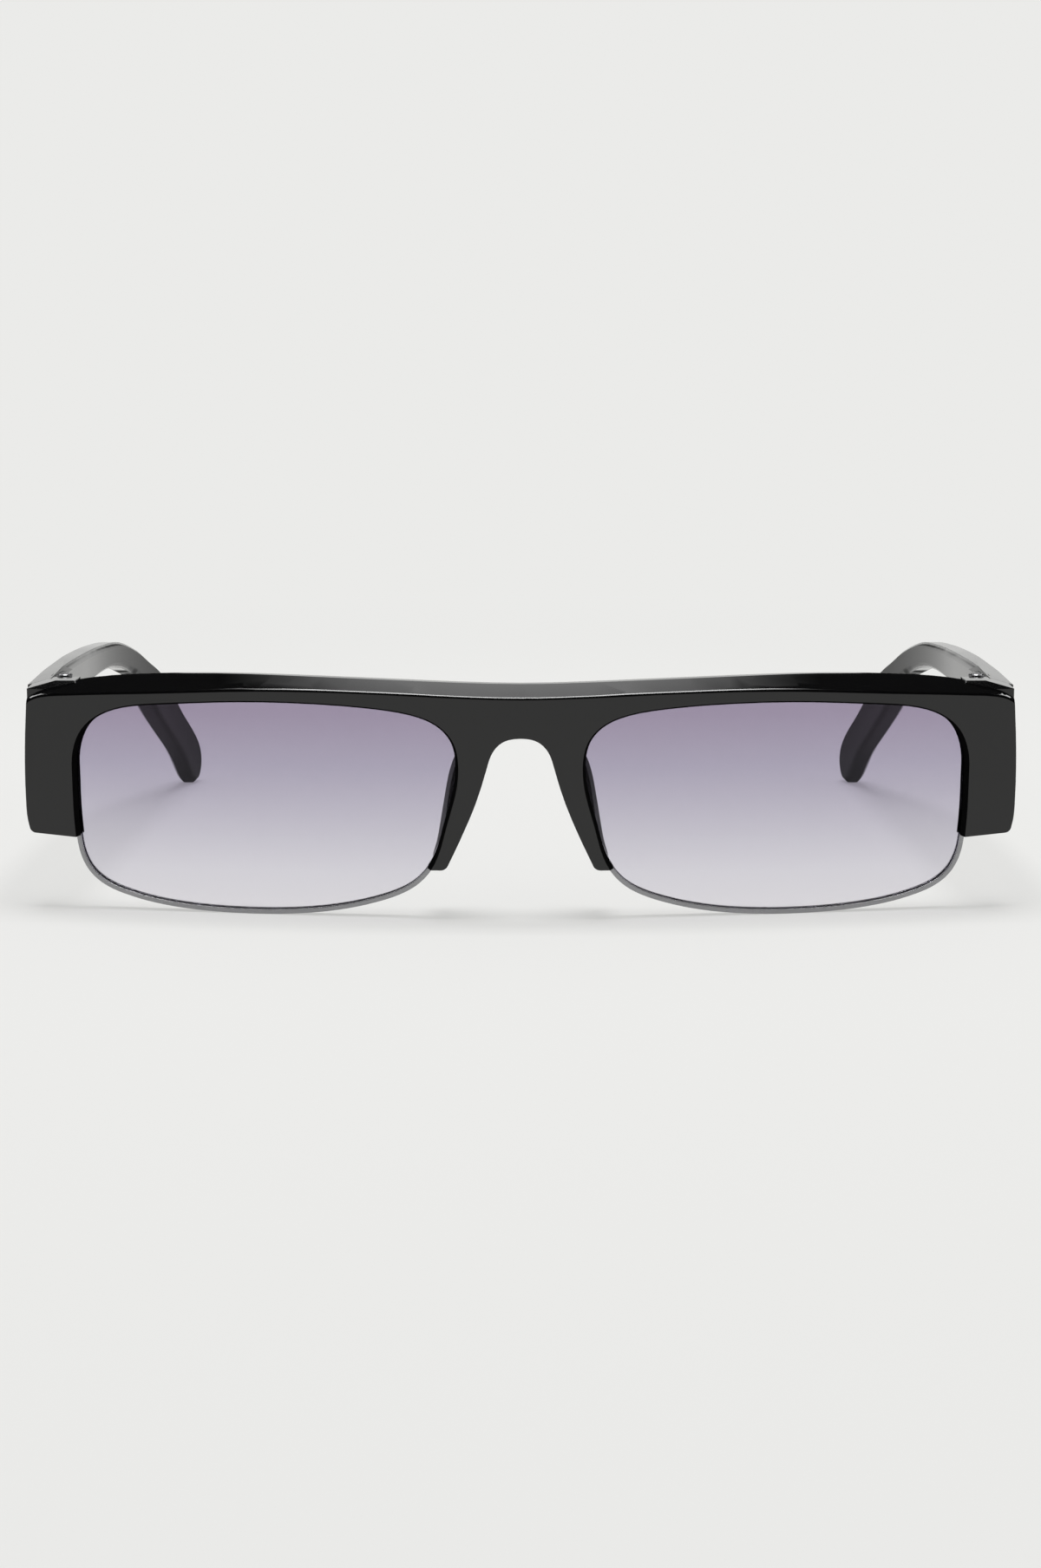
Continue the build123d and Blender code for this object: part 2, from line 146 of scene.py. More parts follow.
def blended(nodes, links, share, first, second):
    blend = add(nodes, "ShaderNodeMixShader")
    links.new(share, blend.inputs["Fac"])
    links.new(first.outputs[0], blend.inputs[1])
    links.new(second.outputs[0], blend.inputs[2])
    return blend


def give_surface(nodes, links, shader, kind="ShaderNodeOutputMaterial"):
    out = add(nodes, kind)
    links.new(shader.outputs[0], out.inputs["Surface"])


floor = flat_sheet("table_top", table_width, table_width)
floor.location = (0.0, 0.0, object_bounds()[0][2] - table_gap)

floor_material, nodes, links = new_material("table_paint")
place = add(nodes, "ShaderNodeTexCoord")
reach = add(nodes, "ShaderNodeVectorMath", operation="LENGTH")
links.new(place.outputs["Object"], reach.inputs[0])
fade = rescaled(nodes, links, reach.outputs["Value"], interpolation_type="SMOOTHSTEP",
                in_From_Min=fade_start, in_From_Max=fade_end)
own_light = rescaled(nodes, links, fade, in_To_Min=table_own_light, in_To_Max=1.0)
matt = add(nodes, "ShaderNodeBsdfDiffuse", in_Color=table_paint_colour)
# The table's painted glow: an emission that lightens the shadows on it.
table_glow = add(nodes, "ShaderNodeEmission", in_Color=pale)
give_surface(nodes, links, blended(nodes, links, own_light, matt, table_glow))
floor.data.materials.append(floor_material)

world = bpy.data.worlds.new("studio")
bpy.context.scene.world = world
world.use_nodes = True
nodes, links = world.node_tree.nodes, world.node_tree.links
nodes.clear()
path = add(nodes, "ShaderNodeLightPath")
straight = calculated(nodes, links, "MAXIMUM", path.outputs["Is Camera Ray"],
                      path.outputs["Is Transmission Ray"])
backdrop = add(nodes, "ShaderNodeBackground", in_Color=pale)
fill = add(nodes, "ShaderNodeBackground", in_Color=(1.0, 1.0, 1.0, 1.0), in_Strength=room_fill)
direction = add(nodes, "ShaderNodeTexCoord")
parts = add(nodes, "ShaderNodeSeparateXYZ")
links.new(direction.outputs["Generated"], parts.inputs[0])

# Gloss mirrors the pale backdrop low behind the glasses, and a dark room above and in front.
ceiling = rescaled(nodes, links, parts.outputs["Z"], interpolation_type="SMOOTHSTEP",
                   in_From_Min=ceiling_start, in_From_Max=ceiling_end,
                   in_To_Min=low_wall_tone, in_To_Max=ceiling_tone)
wall = rescaled(nodes, links, parts.outputs["Y"], interpolation_type="SMOOTHSTEP",
                in_From_Min=near_wall, in_From_Max=far_wall, in_To_Min=near_wall_share, in_To_Max=1.0)
room = add(nodes, "ShaderNodeBackground", in_Color=room_glow)
links.new(calculated(nodes, links, "MULTIPLY", ceiling, wall), room.inputs["Strength"])
mirrored = blended(nodes, links, path.outputs["Is Glossy Ray"], fill, room)
seen = blended(nodes, links, straight, mirrored, backdrop)
give_surface(nodes, links, seen, "ShaderNodeOutputWorld")

# Lamps: one broad soft box hangs straight over the glasses and makes the table's shadows. Four
# cards show only as mirror images: one in the long bevel, one in the thin line along the bevel's
# lower edge, and two from the sides for the outer corners.
overhead_data = bpy.data.lights.new("overhead", "AREA")
overhead_data.shape = "RECTANGLE"
overhead_data.size = 0.55
overhead_data.size_y = 0.55
overhead_data.energy = 9.2
overhead = bpy.data.objects.new("overhead", overhead_data)
overhead.location = (0.0, 0.05, 1.1)
overhead.visible_glossy = False
bpy.context.scene.collection.objects.link(overhead)


def mirror_card(name, middle, width, height, strength, soft_share):
    card = flat_sheet(name, width, height)
    card.location = middle
    card.rotation_euler = (-Vector(middle)).to_track_quat("Z", "Y").to_euler()
    for flag in ("visible_camera", "visible_diffuse", "visible_shadow", "visible_transmission"):
        setattr(card, flag, False)
    material, nodes, links = new_material(name)
    place = add(nodes, "ShaderNodeTexCoord")
    parts = add(nodes, "ShaderNodeSeparateXYZ")
    links.new(place.outputs["Object"], parts.inputs[0])
    across = calculated(nodes, links, "ABSOLUTE", parts.outputs["X"])
    edge = rescaled(nodes, links, across, interpolation_type="SMOOTHSTEP",
                    in_From_Min=width / 2 * (1 - soft_share), in_From_Max=width / 2,
                    in_To_Min=strength, in_To_Max=0.0)
    glow = add(nodes, "ShaderNodeEmission")
    links.new(edge, glow.inputs["Strength"])
    give_surface(nodes, links, glow)
    card.data.materials.append(material)


mirror_card("card_top", (0.0, 0.44, 0.9), width=0.57, height=0.7, strength=2.25, soft_share=1.0)
mirror_card("card_front", (0.0, -0.2, 0.97), width=0.75, height=0.42, strength=17.0, soft_share=0.5)
for way in (-1, 1):
    mirror_card("card_side_%d" % way, (way * 0.75, 0.1, 0.75), width=0.4, height=0.3,
                strength=9.0, soft_share=0.3)

# Half frame: black plastic moulded in one piece, bowed to the face and polished to a gloss. A long
# bevel runs along its top edge. The walls of the eye openings keep the dull skin of the mould, and
# the groove in them holds the lenses.
bow_radius = 0.260
bow_centre = front_y + bow_radius
frame_thickness = 0.005
seam_gap = 2e-6
layer_tolerance = 0.00001
slightly, mostly, squarely = 0.3, 0.5, 0.93
broken_edge_limit = math.radians(38.0)
outline_reaches = (0.0025, 0.005, 0.010)
outline_points = 8
same_side = 0.6


def bow_outward(spot):
    return Vector((spot.x, spot.y - bow_centre, 0.0)).normalized()


def bow_depth(spot):
    """How far a spot lies behind the bowed front face, measured towards the bow's centre."""
    return bow_radius - math.hypot(spot.x, spot.y - bow_centre)


def new_group(name, kind, inputs, outputs):
    tree = bpy.data.node_groups.new(name, kind)
    for way, sockets in (("INPUT", inputs), ("OUTPUT", outputs)):
        for socket, value_kind in sockets.items():
            tree.interface.new_socket(socket, in_out=way, socket_type="NodeSocket" + value_kind)
    return tree, add(tree.nodes, "NodeGroupInput"), add(tree.nodes, "NodeGroupOutput")


def polish_group():
    """Polished plastic: broken edges, a faint ripple from the mould and a sheen worn by handling."""
    tree, given, made = new_group("polished_plastic", "ShaderNodeTree",
                                  {"Edge radius": "Float", "Roughness": "Float", "Ripple": "Float"},
                                  {"Normal": "Vector", "Roughness": "Float"})
    nodes, links = tree.nodes, tree.links
    place = add(nodes, "ShaderNodeTexCoord")
    corner = add(nodes, "ShaderNodeBevel", samples=6)
    links.new(given.outputs["Edge radius"], corner.inputs["Radius"])
    ripple = add(nodes, "ShaderNodeTexNoise", in_Scale=260.0, in_Detail=1.0)
    links.new(place.outputs["Object"], ripple.inputs["Vector"])
    bump = add(nodes, "ShaderNodeBump", in_Distance=0.00002)
    links.new(given.outputs["Ripple"], bump.inputs["Strength"])
    links.new(ripple.outputs["Fac"], bump.inputs["Height"])
    links.new(corner.outputs[0], bump.inputs["Normal"])
    links.new(bump.outputs[0], made.inputs["Normal"])
    handled = add(nodes, "ShaderNodeTexNoise", in_Scale=45.0, in_Detail=4.0, in_Roughness=0.62)
    links.new(place.outputs["Object"], handled.inputs["Vector"])
    spread = rescaled(nodes, links, handled.outputs["Fac"], in_From_Min=0.35, in_From_Max=0.75,
                      in_To_Min=0.8, in_To_Max=1.35)
    rough = calculated(nodes, links, "MULTIPLY", given.outputs["Roughness"], spread)
    links.new(rough, made.inputs["Roughness"])
    return tree


polish = polish_group()


def solid_material(name, finish, finish_values, **body_values):
    material, nodes, links = new_material(name)
    skin = add(nodes, "ShaderNodeGroup", node_tree=finish, **finish_values)
    body = add(nodes, "ShaderNodeBsdfPrincipled", **body_values)
    links.new(skin.outputs["Normal"], body.inputs["Normal"])
    links.new(skin.outputs["Roughness"], body.inputs["Roughness"])
    give_surface(nodes, links, body)
    return material


def black_plastic(name, colour, roughness, edge_radius, ripple, index=1.5):
    worked = {"in_Edge_radius": edge_radius, "in_Roughness": roughness, "in_Ripple": ripple}
    return solid_material(name, polish, worked, in_Base_Color=(*colour, 1.0), in_IOR=index)


def moulded_plastic(name):
    """The mould's own dull skin: a fine grain without any gloss."""
    material, nodes, links = new_material(name)
    place = add(nodes, "ShaderNodeTexCoord")
    grain = add(nodes, "ShaderNodeTexNoise", in_Scale=900.0, in_Detail=2.0)
    links.new(place.outputs["Object"], grain.inputs["Vector"])
    tone = rescaled(nodes, links, grain.outputs["Fac"], in_To_Min=0.003, in_To_Max=0.006)
    rise = add(nodes, "ShaderNodeBump", in_Strength=0.3, in_Distance=0.00002)
    links.new(grain.outputs["Fac"], rise.inputs["Height"])
    dull = add(nodes, "ShaderNodeBsdfPrincipled", in_Roughness=0.55, in_Specular_IOR_Level=0.0)
    links.new(tone, dull.inputs["Base Color"])
    links.new(rise.outputs[0], dull.inputs["Normal"])
    give_surface(nodes, links, dull)
    return material


def plain_mesh(piece):
    """The piece with its modifiers worked in, and none of them left on it."""
    settled = piece.evaluated_get(bpy.context.evaluated_depsgraph_get())
    mesh = bpy.data.meshes.new_from_object(settled)
    mesh.name = piece.name
    piece.modifiers.clear()
    piece.data = mesh
    return mesh


def seamless_copy(node, name, sharp_degrees, bowed_depths=()):
    """The CAD node's mesh with its seams merged, smooth but for its real edges.

    Narrow faces between broad ones take the broad ones' normals at their sides, as a rounded
    edge does. Faces that lie at one of the bowed depths get a cylinder's exact normals.
    """
    mesh = frame["nodes"][node].data.copy()
    if "custom_normal" in mesh.attributes:
        mesh.attributes.remove(mesh.attributes["custom_normal"])
    bm = bmesh.new()
    bm.from_mesh(mesh)
    bmesh.ops.remove_doubles(bm, verts=bm.verts, dist=seam_gap)
    limit = math.radians(sharp_degrees)
    for edge in bm.edges:
        to_front = all(f.normal.y < -slightly for f in edge.link_faces)
        widest = max(limit, broken_edge_limit) if to_front else limit
        edge.smooth = len(edge.link_faces) == 2 and edge.calc_face_angle(0.0) < widest
    for face in bm.faces:
        face.smooth = True
    bm.to_mesh(mesh)
    bm.free()
    mesh.materials.clear()
    piece = bpy.data.objects.new(name, mesh)
    bpy.context.scene.collection.objects.link(piece)
    even = piece.modifiers.new("even_shading", "WEIGHTED_NORMAL")
    even.mode = "FACE_AREA"
    even.weight = 90
    even.keep_sharp = True
    mesh = plain_mesh(piece)
    normals = [Vector(corner.vector) for corner in mesh.corner_normals]
    for polygon in mesh.polygons:
        spots = [mesh.vertices[v].co for v in polygon.vertices]
        for depth in bowed_depths:
            if all(abs(bow_depth(spot) - depth) < layer_tolerance for spot in spots):
                inward = polygon.normal.dot(bow_outward(spots[0])) < 0
                for loop in polygon.loop_indices:
                    outward = bow_outward(mesh.vertices[mesh.loops[loop].vertex_index].co)
                    normals[loop] = -outward if inward else outward
    mesh.normals_split_custom_set(normals)
    return piece


def outline_normals(mesh, polygons, across):
    """Exact normals of faces that run straight along one axis and follow an outline.

    Each vertex gets a parabola through its neighbours on the outline. The outline lies in the
    plane of the two axes named by across.
    """
    sums = {}
    for polygon in polygons:
        for v in polygon.vertices:
            sums[v] = sums.get(v, Vector()) + polygon.normal * polygon.area
    keys = list(sums)
    spots = np.array([[mesh.vertices[v].co[k] for k in across] for v in keys])
    rough = np.array([[sums[v][k] for k in across] for v in keys])
    rough /= np.linalg.norm(rough, axis=1)[:, None]
    found = {}
    for key, spot, up in zip(keys, spots, rough):
        offsets = spots - spot
        far = np.linalg.norm(offsets, axis=1)
        for reach in outline_reaches:
            near = (far < reach) & (rough @ up > same_side)
            if near.sum() > outline_points:
                break
        along = np.array([up[1], -up[0]])
        u, w = offsets[near] @ along, offsets[near] @ up
        slope = np.linalg.lstsq(np.stack([u, u * u], 1), w, rcond=None)[0][0]
        fitted = up - slope * along
        normal = Vector()
        normal[across[0]], normal[across[1]] = fitted
        found[key] = normal.normalized()
    return found


def share_of_way(place, start, end):
    """0 up to the start, 1 from the end on, and even in between."""
    return min(max((place - start) / (end - start), 0.0), 1.0)


bodies = frame["record"]["behaviour"]["bodies"]
body_of_node = {node: body for body, nodes in bodies.items() for node in nodes}


def seat(piece, node, material):
    """Puts a finished piece in the place of its CAD node, on that node's body."""
    if not piece.data.materials:
        piece.data.materials.append(material)
    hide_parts(node)
    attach(piece, body_of_node[node])


frame_black = black_plastic("frame_black", (0.0025, 0.0025, 0.0027), roughness=0.09,
                            edge_radius=0.00014, ripple=0.05)
half_frame = seamless_copy("brow_front", "half_frame", sharp_degrees=24.0,
                           bowed_depths=(0.0, frame_thickness))
mesh = half_frame.data
normals = [Vector(corner.vector) for corner in mesh.corner_normals]

# The level tops of the two hinge lugs stay flat.
lug_inner_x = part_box("brow_front")[1].x - 0.0076
lug_top_y = front_y + 0.0108
lug_top_height = 0.0325
lug_top_lean = 0.09
top_edge_height = 0.024
upper = [p for p in mesh.polygons if p.normal.z > mostly and p.center.z > top_edge_height]
lug_tops = [p for p in upper if p.normal.z > squarely and abs(p.center.x) > lug_inner_x
            and p.normal.y < lug_top_lean and p.center.y > lug_top_y
            and max(mesh.vertices[v].co.z for v in p.vertices) > lug_top_height]
for polygon in lug_tops:
    for loop in polygon.loop_indices:
        normals[loop] = polygon.normal.copy()

# The low front wall of each lug leans back in its shading, to join the bevel in one black edge.
lug_wall_y = front_y + 0.0100
lug_wall_height = 0.0305
lug_wall_depth = 0.001
lug_wall_facing = 0.8
lug_wall_lean = Vector((0.0, 0.0, 1.8))
for polygon in mesh.polygons:
    spot = polygon.center
    faces_front = polygon.normal.y < -lug_wall_facing and spot.z > lug_wall_height
    if faces_front and spot.y > lug_wall_y and bow_depth(spot) > lug_wall_depth:
        for loop in polygon.loop_indices:
            normals[loop] = (bow_outward(spot) + lug_wall_lean).normalized()

# The rest of the top edge follows its outline, and rolls forward towards the outer corners.
corner_start, corner_end, corner_roll = 0.048, 0.060, 0.4
straight_across = 0.02
lug_top_indices = {p.index for p in lug_tops}
top_edge = [p for p in upper if abs(p.normal.y) < straight_across and p.index not in lug_top_indices]
top_normals = outline_normals(mesh, top_edge, (0, 2))
for polygon in top_edge:
    for loop in polygon.loop_indices:
        v = mesh.loops[loop].vertex_index
        rolled = top_normals[v].copy()
        rolled.y -= corner_roll * share_of_way(abs(mesh.vertices[v].co.x), corner_start, corner_end)
        normals[loop] = rolled.normalized()
mesh.normals_split_custom_set(normals)
seat(half_frame, "brow_front", frame_black)

# The walls of the eye openings are left as moulded, but for the part of each leg behind the lens.
wall_black = moulded_plastic("frame_black_as_moulded")
half_frame.data.materials.append(wall_black)
lens_room = 0.0004
groove_depth = 0.003
for side in ("left", "right"):
    low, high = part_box("lens_" + side)
    eye_middle = (low + high) / 2
    reach_x = (high.x - low.x) / 2 + lens_room
    reach_z = (high.z - low.z) / 2 + lens_room
    for polygon in half_frame.data.polygons:
        away = polygon.center - eye_middle
        inside = abs(away.x) < reach_x and abs(away.z) < reach_z
        away.y = 0.0
        wall = abs(polygon.normal.dot(bow_outward(polygon.center))) < mostly
        on_leg = abs(polygon.center.x) < abs(eye_middle.x) and abs(polygon.normal.x) > mostly
        if on_leg and bow_depth(polygon.center) > groove_depth:
            continue
        if inside and wall and polygon.normal.dot(away) < 0:
            polygon.material_index = 1

# Nose pads: small cushions of black plastic with a duller skin, moulded on their own and glued
# behind the nose legs. They show through the lenses beside the legs.
pad_black = black_plastic("pad_black", (0.003, 0.003, 0.0033), roughness=0.42, edge_radius=0.0003,
                          ripple=0.1, index=1.36)
for side in ("left", "right"):
    pad = seamless_copy("nose_pad_" + side, "nose_cushion_" + side, sharp_degrees=40.0)
    seat(pad, "nose_pad_" + side, pad_black)

# Lenses: clear plastic panes, bent like the front, dipped in a violet grey tint and held in the
# frame's groove. The tint is deepest under the brow and fades downwards. The face towards the
# viewer mirrors a little of the pale table, as a coated lens does.
tint_foot, tint_top = 0.0, 0.031
tint_stops = [(0.0, (0.85, 0.833, 0.874)), (0.2, (0.768, 0.752, 0.816)),
              (0.7, (0.458, 0.424, 0.538)), (0.952, (0.376, 0.321, 0.436))]
coating_share = 0.25
lens_front_depth, lens_back_depth = 0.0021, 0.0039
lens_material, nodes, links = new_material("fading_tint")
place = add(nodes, "ShaderNodeTexCoord")
parts = add(nodes, "ShaderNodeSeparateXYZ")
links.new(place.outputs["Object"], parts.inputs[0])
height = rescaled(nodes, links, parts.outputs["Z"], in_From_Min=tint_foot, in_From_Max=tint_top)
tint = add(nodes, "ShaderNodeValToRGB")
while len(tint.color_ramp.elements) < len(tint_stops):
    tint.color_ramp.elements.new(0.5)
for element, (spot, colour) in zip(tint.color_ramp.elements, tint_stops):
    # The light crosses two faces, so each of them takes the root of the whole tint.
    element.position = spot
    element.color = (*[math.sqrt(c) for c in colour], 1.0)
links.new(height, tint.inputs["Fac"])
through = add(nodes, "ShaderNodeBsdfTransparent")
links.new(tint.outputs["Color"], through.inputs["Color"])
mirror = add(nodes, "ShaderNodeBsdfGlossy", in_Roughness=0.02)
grazing = add(nodes, "ShaderNodeFresnel", in_IOR=1.5)
facing = add(nodes, "ShaderNodeNewGeometry")
outer = calculated(nodes, links, "SUBTRACT", 1.0, facing.outputs["Backfacing"])
coated = calculated(nodes, links, "MULTIPLY", grazing.outputs[0], coating_share)
share = calculated(nodes, links, "MULTIPLY", coated, outer)
give_surface(nodes, links, blended(nodes, links, share, through, mirror))
for side in ("left", "right"):
    pane = seamless_copy("lens_" + side, "tinted_pane_" + side, sharp_degrees=30.0,
                         bowed_depths=(lens_front_depth, lens_back_depth))
    seat(pane, "lens_" + side, lens_material)


# Wire rims: nickel plated steel wire, bent round the lens and let into the endpiece and the nose
# leg. The plating is satin, with fine lines, and the ends inside the plastic are blackened.
def plating_group():
    """Satin plating: broken edges and fine lines that change how much it spreads the light."""
    tree, given, made = new_group("satin_plating", "ShaderNodeTree",
                                  {"Edge radius": "Float", "Roughness": "Float"},
                                  {"Normal": "Vector", "Roughness": "Float"})
    nodes, links = tree.nodes, tree.links
    place = add(nodes, "ShaderNodeTexCoord")
    stretch = add(nodes, "ShaderNodeMapping", in_Scale=(120.0, 120.0, 1400.0))
    links.new(place.outputs["Object"], stretch.inputs["Vector"])
    lines = add(nodes, "ShaderNodeTexNoise", in_Scale=1.0, in_Detail=3.0)
    links.new(stretch.outputs[0], lines.inputs["Vector"])
    spread = rescaled(nodes, links, lines.outputs["Fac"], in_To_Min=0.75, in_To_Max=1.3)
    rough = calculated(nodes, links, "MULTIPLY", given.outputs["Roughness"], spread)
    links.new(rough, made.inputs["Roughness"])
    corner = add(nodes, "ShaderNodeBevel", samples=6)
    links.new(given.outputs["Edge radius"], corner.inputs["Radius"])
    links.new(corner.outputs[0], made.inputs["Normal"])
    return tree


plating = plating_group()


def plated_metal(name, colour, roughness, edge_radius):
    worked = {"in_Edge_radius": edge_radius, "in_Roughness": roughness}
    return solid_material(name, plating, worked, in_Base_Color=(*colour, 1.0), in_Metallic=1.0)


endpiece_foot = 0.0106
leg_foot = 0.0072
rim_metal = plated_metal("gunmetal_plating", (0.33, 0.33, 0.34), roughness=0.28, edge_radius=0.00012)
for side in ("left", "right"):
    band = seamless_copy("lower_rim_" + side, "wire_rim_" + side, sharp_degrees=30.0)
    seat(band, "lower_rim_" + side, rim_metal)
    band.data.materials.append(wall_black)
    eye_middle_x = abs(sum(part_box("lens_" + side), Vector()).x) / 2
    for polygon in band.data.polygons:
        outer_end = abs(polygon.center.x) > eye_middle_x
        if polygon.center.z > (endpiece_foot if outer_end else leg_foot):
            polygon.material_index = 1

# Hinges: plated steel leaves with interleaved barrels, three on the front's leaf and two on the
# arm's, set into the plastic. A steel strip stiffens each slim arm from the leaf to the tail.
hinge_metal = plated_metal("dark_nickel", (0.16, 0.16, 0.165), roughness=0.3, edge_radius=0.00012)
for side in ("left", "right"):
    for node in ("front_hinge_", "temple_hinge_", "core_strip_"):
        leaf = seamless_copy(node + side, "plated_" + node + side, sharp_degrees=30.0)
        seat(leaf, node + side, hinge_metal)


# Screws: turned steel with a bevelled, slotted head. One pair pins the hinges from above, and a
# smaller pair holds the wires' ears from behind. One tree of nodes turns all four.
def screw_nodes():
    sizes = ("Shaft radius", "Shaft length", "Head radius", "Head height", "Head edge", "Slot width",
             "Slot depth")
    tree, given, made = new_group("turned_screw", "GeometryNodeTree",
                                  {**dict.fromkeys(sizes, "Float"), "Metal": "Material"},
                                  {"Screw": "Geometry"})
    nodes, links = tree.nodes, tree.links

    def worked(operation, *values):
        return calculated(nodes, links, operation,
                          *[given.outputs[v] if isinstance(v, str) else v for v in values])

    def lifted(shape, height):
        place = add(nodes, "ShaderNodeCombineXYZ")
        links.new(height, place.inputs["Z"])
        moved = add(nodes, "GeometryNodeTransform")
        links.new(shape.outputs["Mesh"], moved.inputs["Geometry"])
        links.new(place.outputs[0], moved.inputs["Translation"])
        return moved.outputs[0]

    def joined(operation, first, second):
        cut = add(nodes, "GeometryNodeMeshBoolean", operation=operation, solver="EXACT")
        links.new(first, cut.inputs["Mesh 1" if operation == "DIFFERENCE" else "Mesh 2"])
        links.new(second, cut.inputs["Mesh 2"])
        return cut.outputs["Mesh"]

    # The shaft runs a little into the head, so that the two join cleanly.
    shaft = add(nodes, "GeometryNodeMeshCylinder", in_Vertices=40)
    links.new(given.outputs["Shaft radius"], shaft.inputs["Radius"])
    shaft_depth = worked("ADD", "Shaft length", worked("MULTIPLY", "Head height", 0.4))
    links.new(shaft_depth, shaft.inputs["Depth"])
    shaft = lifted(shaft, worked("MULTIPLY", shaft_depth, 0.5))

    head = add(nodes, "GeometryNodeMeshCylinder", in_Vertices=56)
    links.new(given.outputs["Head radius"], head.inputs["Radius"])
    straight = worked("SUBTRACT", "Head height", "Head edge")
    links.new(straight, head.inputs["Depth"])
    head = lifted(head, worked("ADD", "Shaft length", worked("MULTIPLY", straight, 0.5)))

    crown = add(nodes, "GeometryNodeMeshCone", in_Vertices=56)
    links.new(given.outputs["Head radius"], crown.inputs["Radius Bottom"])
    links.new(worked("SUBTRACT", "Head radius", "Head edge"), crown.inputs["Radius Top"])
    links.new(given.outputs["Head edge"], crown.inputs["Depth"])
    crown = lifted(crown, worked("ADD", "Shaft length", straight))

    # The slot's cutter is wider than the head and stands half above it.
    slot = add(nodes, "GeometryNodeMeshCube")
    slot_size = add(nodes, "ShaderNodeCombineXYZ")
    links.new(worked("MULTIPLY", "Head radius", 4.0), slot_size.inputs["X"])
    links.new(given.outputs["Slot width"], slot_size.inputs["Y"])
    links.new(worked("MULTIPLY", "Slot depth", 2.0), slot_size.inputs["Z"])
    links.new(slot_size.outputs[0], slot.inputs["Size"])
    slot = lifted(slot, worked("ADD", "Shaft length", "Head height"))

    whole = joined("UNION", joined("UNION", shaft, head), crown)
    real = add(nodes, "GeometryNodeRealizeInstances")
    links.new(joined("DIFFERENCE", whole, slot), real.inputs[0])
    plated = add(nodes, "GeometryNodeSetMaterial")
    links.new(real.outputs[0], plated.inputs["Geometry"])
    links.new(given.outputs["Metal"], plated.inputs["Material"])
    links.new(plated.outputs[0], made.inputs[0])
    return tree


screw_tree = screw_nodes()


def turned_screw(name, foot, along, **sizes):
    piece = bpy.data.objects.new(name, bpy.data.meshes.new(name))
    bpy.context.scene.collection.objects.link(piece)
    turning = piece.modifiers.new("turning", "NODES")
    turning.node_group = screw_tree
    sizes["metal"] = hinge_metal
    for socket in screw_tree.interface.items_tree:
        if socket.in_out == "INPUT":
            turning[socket.identifier] = sizes[socket.name.lower().replace(" ", "_")]
    mesh = plain_mesh(piece)
    mesh.transform(Matrix.Translation(foot) @ along.to_track_quat("Z", "Y").to_matrix().to_4x4())
    # The joining nodes leave an empty material slot, so the one metal is given again by seat.
    mesh.materials.clear()
    for polygon in mesh.polygons:
        polygon.material_index = 0
    mesh.shade_smooth()
    mesh.set_sharp_from_angle(angle=math.radians(30.0))
    return piece


hinge_head_height = 0.0005
ear_head_height = 0.00045
ear_shaft_start = 0.00205
ear_shaft_length = 0.00245
shaft_lean = 0.000054
for side, way in (("left", 1.0), ("right", -1.0)):
    low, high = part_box("hinge_screw_" + side)
    foot = Vector(((low.x + high.x) / 2, (low.y + high.y) / 2, low.z))
    pin = turned_screw("hinge_pin_" + side, foot, Vector((0.0, 0.0, 1.0)), shaft_radius=0.00065,
                       shaft_length=high.z - low.z - hinge_head_height, head_radius=0.00115,
                       head_height=hinge_head_height, head_edge=0.00015, slot_width=0.00035,
                       slot_depth=0.00025)
    seat(pin, "hinge_screw_" + side, hinge_metal)
    low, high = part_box("rim_screw_" + side)
    ear_x = max(abs(low.x), abs(high.x)) + shaft_lean
    inward = Vector((-way * ear_x, math.sqrt(bow_radius ** 2 - ear_x ** 2), 0.0)) / bow_radius
    on_face = Vector((0.0, bow_centre, (low.z + high.z) / 2)) - inward * bow_radius
    ear_screw = turned_screw("ear_screw_" + side, on_face + inward * ear_shaft_start, inward,
                             shaft_radius=0.0005, shaft_length=ear_shaft_length, head_radius=0.00095,
                             head_height=ear_head_height, head_edge=0.0001, slot_width=0.0003,
                             slot_depth=0.00018)
    seat(ear_screw, "rim_screw_" + side, hinge_metal)

# Arms: the same black plastic as the half frame, moulded round the steel strip, slim to the bend
# and then a flat dropped tail. Tumbling has rounded their edges, and the tails curl a little
# inwards towards the head. The shading alone gives both.
arm_black = black_plastic("arm_black", (0.0025, 0.0025, 0.0027), roughness=0.12, edge_radius=0.00015,
                          ripple=0.05)
arm_outer_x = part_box("temple_left")[1].x
arm_thickness = 0.0042
hinge_zone_end = front_y + 0.0255
sweep_start = front_y + 0.055
outer_sweep, inner_sweep = 0.42, 0.47
curl_start, curl_end = front_y + 0.045, front_y + 0.139
curl_angle = math.radians(20.0)
tail_start = front_y + 0.095
tail_crown = 0.7
side_on = 0.12
face_tolerance = 0.0001
skin_lift = 1e-6
pocket_width = 0.008


def broad_face_normal(spot, way, outer):
    lean = max(spot.y - sweep_start, 0.0) / (outer_sweep if outer else inner_sweep)
    normal = Vector((way * math.sqrt(1.0 - lean * lean), lean, 0.0))
    return normal if outer else -normal


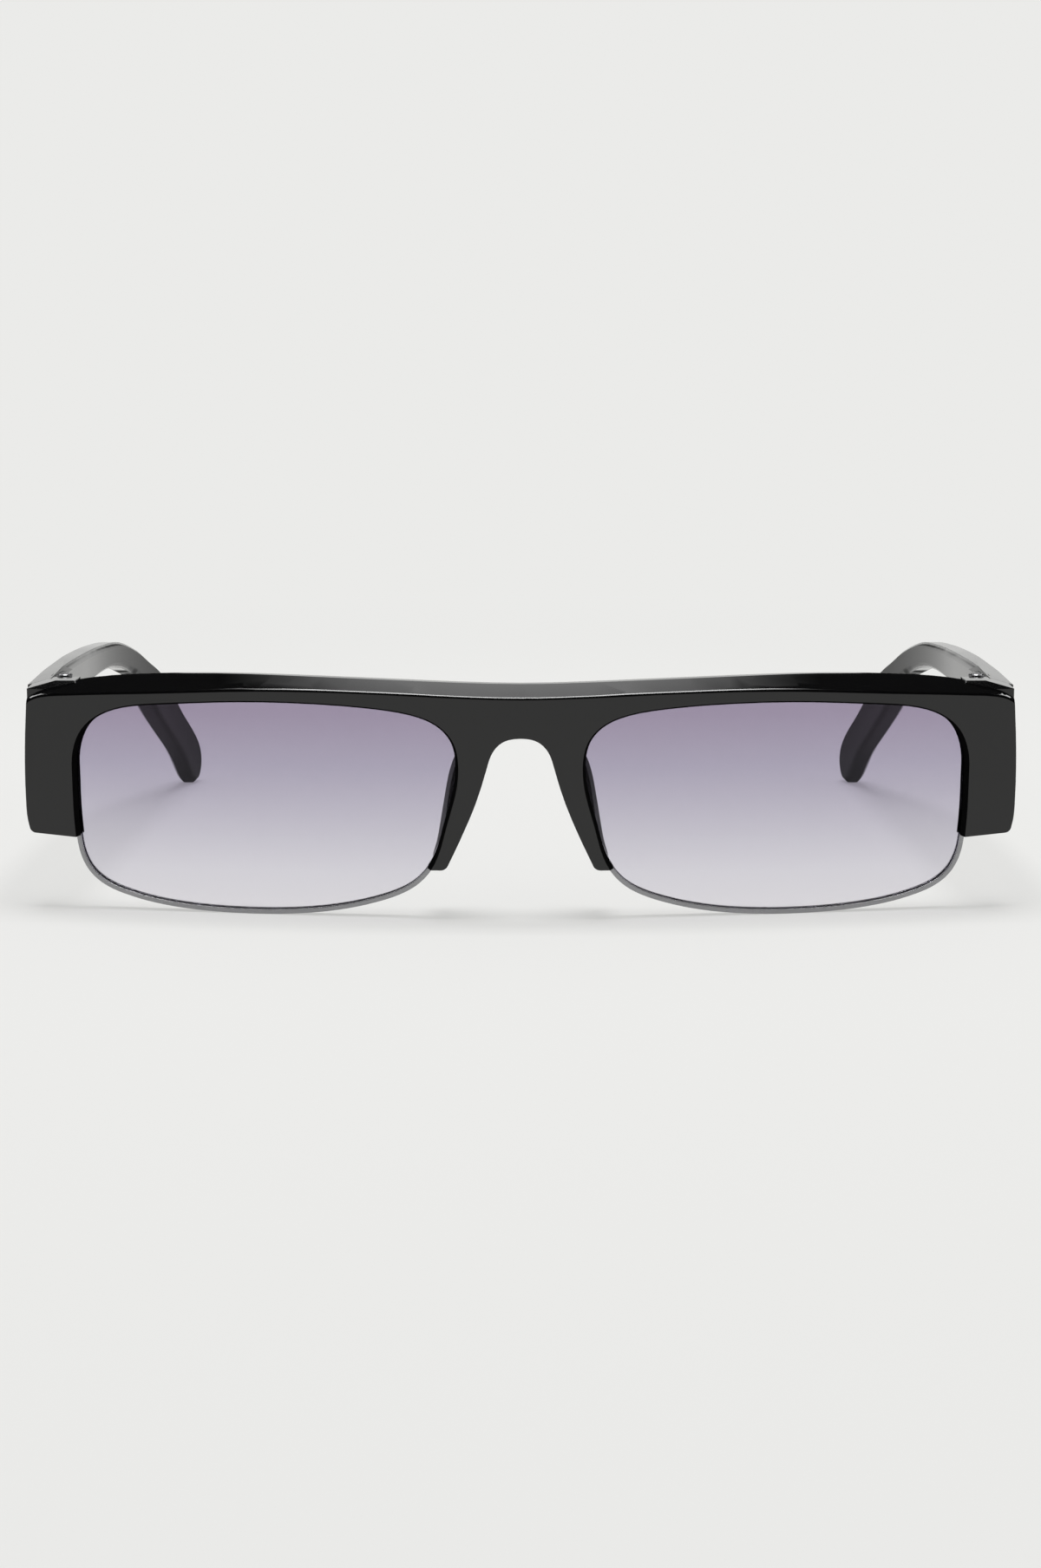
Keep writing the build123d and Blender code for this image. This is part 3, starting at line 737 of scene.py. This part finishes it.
def broad_face_gaps(spot):
    """How far a spot lies below the arm's outer and inner broad face."""
    run = max(spot.y - sweep_start, 0.0)
    outer_x, inner_x = [arm_outer_x - shift - radius + math.sqrt(radius ** 2 - run ** 2)
                        for radius, shift in ((outer_sweep, 0.0), (inner_sweep, arm_thickness))]
    return outer_x - abs(spot.x), abs(spot.x) - inner_x


def smooth_arm(piece, way):
    """Exact normals for the arm's skin behind the hinge, and the inward curl of the tail.

    Faces in a pocket, which a short ray finds, and those beside the hinge keep their own.
    """
    mesh = piece.data
    tree = BVHTree.FromPolygons([v.co for v in mesh.vertices], [p.vertices for p in mesh.polygons])
    skin = [p for p in mesh.polygons
            if min(mesh.vertices[v].co.y for v in p.vertices) > hinge_zone_end
            and tree.ray_cast(p.center + p.normal * skin_lift, p.normal, pocket_width)[0] is None]
    narrow_normals = outline_normals(mesh, [p for p in skin if abs(p.normal.x) < side_on], (1, 2))
    normals = [Vector(corner.vector) for corner in mesh.corner_normals]
    for polygon in skin:
        tilt = abs(polygon.normal.x)
        for loop in polygon.loop_indices:
            v = mesh.loops[loop].vertex_index
            spot = mesh.vertices[v].co
            outer_gap, inner_gap = broad_face_gaps(spot)
            if tilt < side_on:
                normal = narrow_normals[v].copy()
            elif tilt > squarely or (tilt > mostly and min(outer_gap, inner_gap) < face_tolerance):
                normal = broad_face_normal(spot, way, outer_gap < inner_gap)
            elif tilt > mostly and v in narrow_normals:
                normal = narrow_normals[v].copy()
            else:
                normal = polygon.normal.copy()
            if normal.z < -slightly:
                normal.y -= tail_crown * share_of_way(spot.y, tail_start, curl_end)
            normals[loop] = normal
    for loop in mesh.loops:
        spot = mesh.vertices[loop.vertex_index].co
        curl = curl_angle * share_of_way(spot.y, curl_start, curl_end)
        normals[loop.index].rotate(Euler((0.0, 0.0, way * curl)))
    mesh.normals_split_custom_set([n.normalized() for n in normals])


for side, way in (("left", 1.0), ("right", -1.0)):
    arm = seamless_copy("temple_" + side, "arm_" + side, sharp_degrees=30.0)
    smooth_arm(arm, way)
    seat(arm, "temple_" + side, arm_black)
